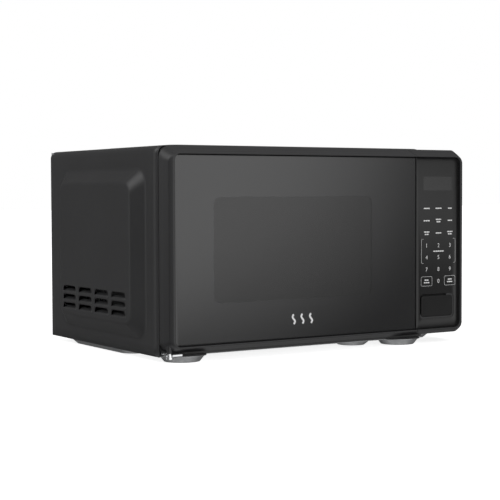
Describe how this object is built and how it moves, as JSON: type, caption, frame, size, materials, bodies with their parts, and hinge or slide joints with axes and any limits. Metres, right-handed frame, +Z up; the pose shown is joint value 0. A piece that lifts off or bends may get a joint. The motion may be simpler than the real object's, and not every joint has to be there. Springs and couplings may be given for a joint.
{
  "type": "microwave oven",
  "caption": "Compact countertop microwave oven with a left-hinged glass door, push-button door release, membrane keypad and a glass turntable.",
  "frame": {"origin": "middle of the footprint on the table", "axes": "+X to the right of someone facing the door, +Y to the rear, +Z up"},
  "size_m": [0.4648, 0.316, 0.2492],
  "materials": {
    "cabinet_paint": "fine-textured matt black paint",
    "rear_sheet": "zinc-coated sheet",
    "bare_steel": "zinc-coated sheet, bare",
    "front_enamel": "light grey powder paint",
    "black_moulding": "satin moulding",
    "front_glass": "smoked float glass",
    "printed_sheet": "satin printed sheet",
    "membrane_foil": "plain",
    "display_block": "smoked window",
    "circuit_board": "solder mask",
    "screen_steel": "black painted steel",
    "clear_film": "clear",
    "white_nylon": "natural nylon",
    "switch_case": "plain",
    "switch_plunger": "plain",
    "zinc_steel": "zinc plated",
    "screw_steel": "bright zinc",
    "black_rubber": "moulded",
    "tray_glass": "clear toughened glass",
    "mica": "pressed mica sheet",
    "magnetron_case": "plain",
    "transformer_core": "varnished",
    "capacitor_can": "drawn can",
    "black_case": "plain",
    "fan_plastic": "plain",
    "lamp_glass": "clear bulb",
    "lamp_ceramic": "glazed"
  },
  "bodies": {
    "chassis": {"outer_cabinet": "cabinet_paint", "rear_panel": "rear_sheet", "base_plate": "bare_steel", "front_plate": "front_enamel", "oven_cavity": "front_enamel", "control_panel_frame": "black_moulding", "control_overlay": "printed_sheet", "key_membrane": "membrane_foil", "display_module": "display_block", "control_board": "circuit_board", "filter_board": "circuit_board", "latch_board": "white_nylon", "fan_shroud": "white_nylon", "primary_switch": "switch_case", "monitor_switch": "switch_case", "secondary_switch": "switch_case", "upper_hinge_arm": "zinc_steel", "lower_hinge_arm": "zinc_steel", "upper_hinge_pin": "zinc_steel", "lower_hinge_pin": "zinc_steel", "capacitor_clamp": "zinc_steel", "waveguide": "zinc_steel", "button_spring": "zinc_steel", "cabinet_screws": "screw_steel", "cord_gland": "black_rubber", "mica_cover": "mica", "magnetron": "magnetron_case", "hv_transformer": "transformer_core", "hv_capacitor": "capacitor_can", "hv_diode": "black_case", "fan_motor": "black_case", "air_duct": "black_case", "thermal_cutouts": "black_case", "turntable_motor": "black_case", "cavity_lamp": "lamp_glass", "lamp_holder": "lamp_ceramic"},
    "door": {"door_frame": "black_moulding", "door_glass": "front_glass", "door_choke": "screen_steel", "choke_cover": "black_moulding", "inner_film": "clear_film", "latch_spring": "zinc_steel"},
    "latch_hook": {"latch_hook": "white_nylon"},
    "release_button": {"release_button": "black_moulding"},
    "release_lever": {"release_lever": "white_nylon"},
    "primary_plunger": {"primary_plunger": "switch_plunger"},
    "monitor_plunger": {"monitor_plunger": "switch_plunger"},
    "secondary_plunger": {"secondary_plunger": "switch_plunger"},
    "turntable_coupler": {"turntable_coupler": "white_nylon"},
    "glass_turntable": {"glass_turntable": "tray_glass"},
    "roller_ring": {"roller_ring": "white_nylon"},
    "roller_wheel_1": {"roller_wheel_1": "white_nylon"},
    "roller_wheel_2": {"roller_wheel_2": "white_nylon"},
    "roller_wheel_3": {"roller_wheel_3": "white_nylon"},
    "fan_blade": {"fan_blade": "fan_plastic"}
  },
  "joints": [
    {"name": "door_hinge", "type": "hinge", "parent": "chassis", "child": "door", "pos_m": [-0.213, -0.149, 0.12], "axis": [0, 0, -1], "range_deg": [0, 105]},
    {"name": "latch_hook_lift", "type": "slide", "parent": "door", "child": "latch_hook", "axis": [0, 0, 1], "range_m": [0, 0.0038], "stiffness_N_per_m": 150, "springref_m": -0.004, "deforming": ["latch_spring"]},
    {"name": "release_button_press", "type": "slide", "parent": "chassis", "child": "release_button", "axis": [0, 1, 0], "range_m": [0, 0.005], "stiffness_N_per_m": 350, "springref_m": -0.004, "deforming": ["button_spring"]},
    {"name": "release_lever_turn", "type": "hinge", "parent": "chassis", "child": "release_lever", "pos_m": [0.14, -0.131, 0.057], "axis": [1, 0, 0], "range_deg": [0, 25.3]},
    {"name": "turntable_spin", "type": "hinge", "parent": "chassis", "child": "turntable_coupler", "pos_m": [-0.043, -0.001, 0.03], "axis": [0, 0, 1], "continuous": true},
    {"name": "turntable_lift", "type": "slide", "parent": "turntable_coupler", "child": "glass_turntable", "axis": [0, 0, 1], "range_m": [0, 0.03]},
    {"name": "roller_ring_spin", "type": "hinge", "parent": "chassis", "child": "roller_ring", "pos_m": [-0.043, -0.001, 0.0398], "axis": [0, 0, 1], "continuous": true},
    {"name": "roller_wheel_1_spin", "type": "hinge", "parent": "roller_ring", "child": "roller_wheel_1", "pos_m": [0.04144, 0.04775, 0.0398], "axis": [0.866, 0.5, 0], "continuous": true},
    {"name": "roller_wheel_2_spin", "type": "hinge", "parent": "roller_ring", "child": "roller_wheel_2", "pos_m": [-0.12744, 0.04775, 0.0398], "axis": [-0.866, 0.5, 0], "continuous": true},
    {"name": "roller_wheel_3_spin", "type": "hinge", "parent": "roller_ring", "child": "roller_wheel_3", "pos_m": [-0.043, -0.0985, 0.0398], "axis": [0, -1, 0], "continuous": true},
    {"name": "fan_spin", "type": "hinge", "parent": "chassis", "child": "fan_blade", "pos_m": [0.165, 0.127, 0.15], "axis": [0, 1, 0], "continuous": true},
    {"name": "primary_plunger_press", "type": "slide", "parent": "chassis", "child": "primary_plunger", "axis": [0, 1, 0], "range_m": [0, 0.001], "stiffness_N_per_m": 300, "springref_m": -0.001},
    {"name": "monitor_plunger_press", "type": "slide", "parent": "chassis", "child": "monitor_plunger", "axis": [0, 1, 0], "range_m": [0, 0.001], "stiffness_N_per_m": 300, "springref_m": -0.001},
    {"name": "secondary_plunger_press", "type": "slide", "parent": "chassis", "child": "secondary_plunger", "axis": [0, 1, 0], "range_m": [0, 0.001], "stiffness_N_per_m": 300, "springref_m": -0.001}
  ],
  "couplings": [
    {"joint": "release_lever_turn", "follows": "release_button_press", "rad_per_m": 88},
    {"joint": "latch_hook_lift", "follows": "release_button_press", "ratio": 0.76},
    {"joint": "roller_ring_spin", "follows": "turntable_spin", "ratio": 0.5},
    {"joint": "roller_wheel_1_spin", "follows": "turntable_spin", "ratio": -6.5},
    {"joint": "roller_wheel_2_spin", "follows": "turntable_spin", "ratio": -6.5},
    {"joint": "roller_wheel_3_spin", "follows": "turntable_spin", "ratio": -6.5}
  ]
}
